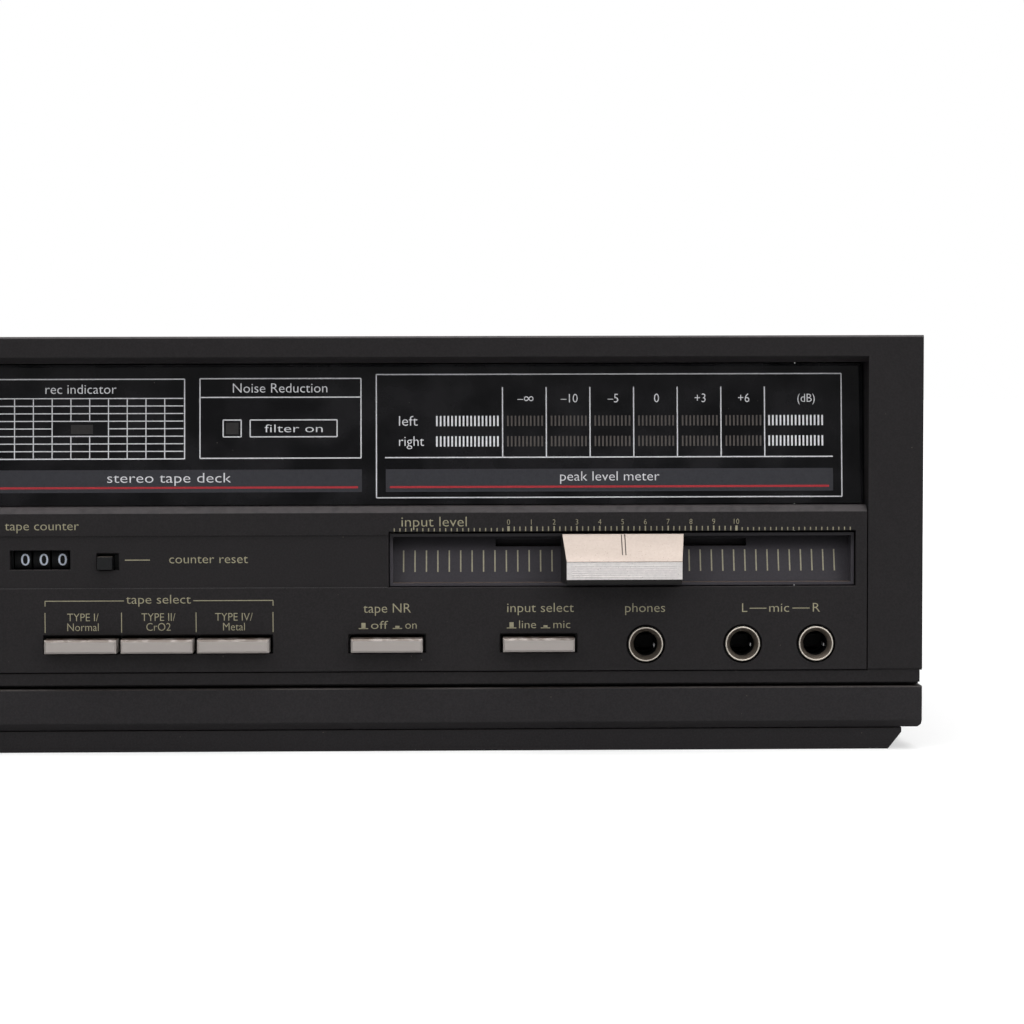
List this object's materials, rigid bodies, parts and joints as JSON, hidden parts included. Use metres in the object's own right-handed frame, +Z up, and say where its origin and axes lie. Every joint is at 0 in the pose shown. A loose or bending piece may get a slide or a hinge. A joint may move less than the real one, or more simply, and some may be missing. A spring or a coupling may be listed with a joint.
{
  "type": "cassette deck",
  "caption": "Front-loading cassette deck with slide level control, display window, tape counter, push buttons, piano keys and a hinged cassette door.",
  "frame": {"origin": "centre of the outline on the surface that the deck stands on", "axes": "+X to the right seen from the front, +Y towards the rear, +Z up; the front face looks along -Y"},
  "size_m": [0.43, 0.258, 0.1105],
  "materials": {
    "charcoal_moulding": "fine matt grain, near black",
    "window_gloss": "glossy near-black acrylic",
    "lens_smoke": "smoked clear acrylic",
    "champagne_cap": "satin champagne metallised plastic",
    "knob_satin": "satin anodised, warm",
    "nickel": "nickel plate with light wear",
    "steel": "plain steel",
    "black_paint": "fine textured black paint",
    "zinc": "zinc plated steel",
    "circuit_board": "phenolic board",
    "rubber": "black rubber",
    "black_plastic": "black moulded plastic",
    "brass": "turned brass",
    "coil_wrap": "taped copper winding"
  },
  "bodies": {
    "deck": {"front_frame": "charcoal_moulding", "base_sill": "charcoal_moulding", "plinth_bar": "charcoal_moulding", "rear_foot_left": "rubber", "rear_foot_right": "rubber", "bottom_chassis": "zinc", "main_board": "circuit_board", "top_cover": "black_paint", "rear_panel": "black_paint", "rca_block": "black_plastic", "mains_gland": "rubber", "control_panel": "charcoal_moulding", "display_window": "window_gloss", "display_board": "circuit_board", "slider_tray": "window_gloss", "slide_pot": "steel", "tape_switch": "black_plastic", "noise_switch": "black_plastic", "input_switch": "black_plastic", "power_switch": "black_plastic", "counter_body": "black_plastic", "phones_jack": "nickel", "mic_jack_left": "nickel", "mic_jack_right": "nickel", "transport_panel": "charcoal_moulding", "key_shaft": "steel", "mech_plate": "steel", "drive_motor": "zinc", "drive_belt": "rubber", "transformer_core": "steel", "transformer_coil": "coil_wrap"},
    "door": {"cassette_door": "charcoal_moulding", "door_window": "lens_smoke", "cassette_holder": "charcoal_moulding"},
    "level_slider": {"slider_knob": "knob_satin"},
    "head_slide": {"head_plate": "zinc", "record_play_head": "nickel", "erase_head": "nickel"},
    "pinch_arm": {"pinch_arm": "steel"},
    "pinch_roller": {"pinch_roller": "rubber"},
    "supply_spindle": {"supply_spindle": "black_plastic"},
    "take_up_spindle": {"take_up_spindle": "black_plastic"},
    "flywheel": {"capstan_flywheel": "brass"},
    "motor_pulley": {"motor_pulley": "brass"},
    "reset_button": {"reset_button": "charcoal_moulding"},
    "power_button": {"power_button": "champagne_cap"},
    "tape_key_1": {"tape_key_1": "champagne_cap"},
    "tape_key_2": {"tape_key_2": "champagne_cap"},
    "tape_key_3": {"tape_key_3": "champagne_cap"},
    "noise_key": {"noise_key": "champagne_cap"},
    "input_key": {"input_key": "champagne_cap"},
    "counter_wheel_1": {"counter_wheel_1": "black_plastic"},
    "counter_wheel_2": {"counter_wheel_2": "black_plastic"},
    "counter_wheel_3": {"counter_wheel_3": "black_plastic"},
    "record_key": {"record_key": "champagne_cap"},
    "rewind_key": {"rewind_key": "champagne_cap"},
    "play_key": {"play_key": "champagne_cap"},
    "forward_key": {"forward_key": "champagne_cap"},
    "stop_key": {"stop_key": "champagne_cap"},
    "pause_key": {"pause_key": "champagne_cap"}
  },
  "joints": [
    {"name": "door_hinge", "type": "hinge", "parent": "deck", "child": "door", "pos_m": [-0.10795, -0.117, 0.0399], "axis": [1, 0, 0], "range_deg": [0, 32]},
    {"name": "level_slide", "type": "slide", "parent": "deck", "child": "level_slider", "axis": [1, 0, 0], "range_m": [-0.03, 0.03]},
    {"name": "record_key_press", "type": "hinge", "parent": "deck", "child": "record_key", "pos_m": [-0.10795, -0.103, 0.0252], "axis": [1, 0, 0], "range_deg": [0, 9], "stiffness_Nm_per_rad": 0.05, "springref_deg": -5.73},
    {"name": "rewind_key_press", "type": "hinge", "parent": "deck", "child": "rewind_key", "pos_m": [-0.10795, -0.103, 0.0252], "axis": [1, 0, 0], "range_deg": [0, 9], "stiffness_Nm_per_rad": 0.05, "springref_deg": -5.73},
    {"name": "play_key_press", "type": "hinge", "parent": "deck", "child": "play_key", "pos_m": [-0.10795, -0.103, 0.0252], "axis": [1, 0, 0], "range_deg": [0, 9], "stiffness_Nm_per_rad": 0.05, "springref_deg": -5.73},
    {"name": "forward_key_press", "type": "hinge", "parent": "deck", "child": "forward_key", "pos_m": [-0.10795, -0.103, 0.0252], "axis": [1, 0, 0], "range_deg": [0, 9], "stiffness_Nm_per_rad": 0.05, "springref_deg": -5.73},
    {"name": "stop_key_press", "type": "hinge", "parent": "deck", "child": "stop_key", "pos_m": [-0.10795, -0.103, 0.0252], "axis": [1, 0, 0], "range_deg": [0, 9], "stiffness_Nm_per_rad": 0.05, "springref_deg": -5.73},
    {"name": "pause_key_press", "type": "hinge", "parent": "deck", "child": "pause_key", "pos_m": [-0.10795, -0.103, 0.0252], "axis": [1, 0, 0], "range_deg": [0, 9], "stiffness_Nm_per_rad": 0.05, "springref_deg": -5.73},
    {"name": "power_button_push", "type": "slide", "parent": "deck", "child": "power_button", "axis": [0, 1, 0], "range_m": [0, 0.003], "stiffness_N_per_m": 200, "springref_m": -0.003},
    {"name": "tape_key_1_push", "type": "slide", "parent": "deck", "child": "tape_key_1", "axis": [0, 1, 0], "range_m": [0, 0.003], "stiffness_N_per_m": 200, "springref_m": -0.003},
    {"name": "tape_key_2_push", "type": "slide", "parent": "deck", "child": "tape_key_2", "axis": [0, 1, 0], "range_m": [0, 0.003], "stiffness_N_per_m": 200, "springref_m": -0.003},
    {"name": "tape_key_3_push", "type": "slide", "parent": "deck", "child": "tape_key_3", "axis": [0, 1, 0], "range_m": [0, 0.003], "stiffness_N_per_m": 200, "springref_m": -0.003},
    {"name": "noise_key_push", "type": "slide", "parent": "deck", "child": "noise_key", "axis": [0, 1, 0], "range_m": [0, 0.003], "stiffness_N_per_m": 200, "springref_m": -0.003},
    {"name": "input_key_push", "type": "slide", "parent": "deck", "child": "input_key", "axis": [0, 1, 0], "range_m": [0, 0.003], "stiffness_N_per_m": 200, "springref_m": -0.003},
    {"name": "reset_button_push", "type": "slide", "parent": "deck", "child": "reset_button", "axis": [0, 1, 0], "range_m": [0, 0.002], "stiffness_N_per_m": 200, "springref_m": -0.003},
    {"name": "head_lift", "type": "slide", "parent": "deck", "child": "head_slide", "axis": [0, 0, 1], "range_m": [0, 0.006]},
    {"name": "pinch_swing", "type": "hinge", "parent": "deck", "child": "pinch_arm", "pos_m": [-0.09795, -0.1008, 0.024], "axis": [0, -1, 0], "range_deg": [0, 20]},
    {"name": "pinch_spin", "type": "hinge", "parent": "pinch_arm", "child": "pinch_roller", "pos_m": [-0.07268, -0.111, 0.03055], "axis": [0, -1, 0], "continuous": true},
    {"name": "supply_spin", "type": "hinge", "parent": "deck", "child": "supply_spindle", "pos_m": [-0.1292, -0.1105, 0.0713], "axis": [0, -1, 0], "continuous": true},
    {"name": "take_up_spin", "type": "hinge", "parent": "deck", "child": "take_up_spindle", "pos_m": [-0.0867, -0.1105, 0.0713], "axis": [0, -1, 0], "continuous": true},
    {"name": "capstan_spin", "type": "hinge", "parent": "deck", "child": "flywheel", "pos_m": [-0.07645, -0.112, 0.0458], "axis": [0, -1, 0], "continuous": true},
    {"name": "motor_spin", "type": "hinge", "parent": "deck", "child": "motor_pulley", "pos_m": [-0.13795, -0.0702, 0.05], "axis": [0, -1, 0], "continuous": true},
    {"name": "counter_turn_1", "type": "hinge", "parent": "deck", "child": "counter_wheel_1", "pos_m": [-0.02403, -0.1098, 0.05155], "axis": [1, 0, 0], "continuous": true},
    {"name": "counter_turn_2", "type": "hinge", "parent": "deck", "child": "counter_wheel_2", "pos_m": [-0.0191, -0.1098, 0.05155], "axis": [1, 0, 0], "continuous": true},
    {"name": "counter_turn_3", "type": "hinge", "parent": "deck", "child": "counter_wheel_3", "pos_m": [-0.01417, -0.1098, 0.05155], "axis": [1, 0, 0], "continuous": true}
  ],
  "couplings": [
    {"joint": "head_lift", "follows": "play_key_press", "m_per_rad": 0.038},
    {"joint": "pinch_swing", "follows": "play_key_press", "ratio": 2.22},
    {"joint": "motor_spin", "follows": "capstan_spin", "ratio": 6},
    {"joint": "counter_turn_3", "follows": "take_up_spin", "ratio": 0.1},
    {"joint": "counter_turn_2", "follows": "take_up_spin", "ratio": 0.01},
    {"joint": "counter_turn_1", "follows": "take_up_spin", "ratio": 0.001}
  ]
}
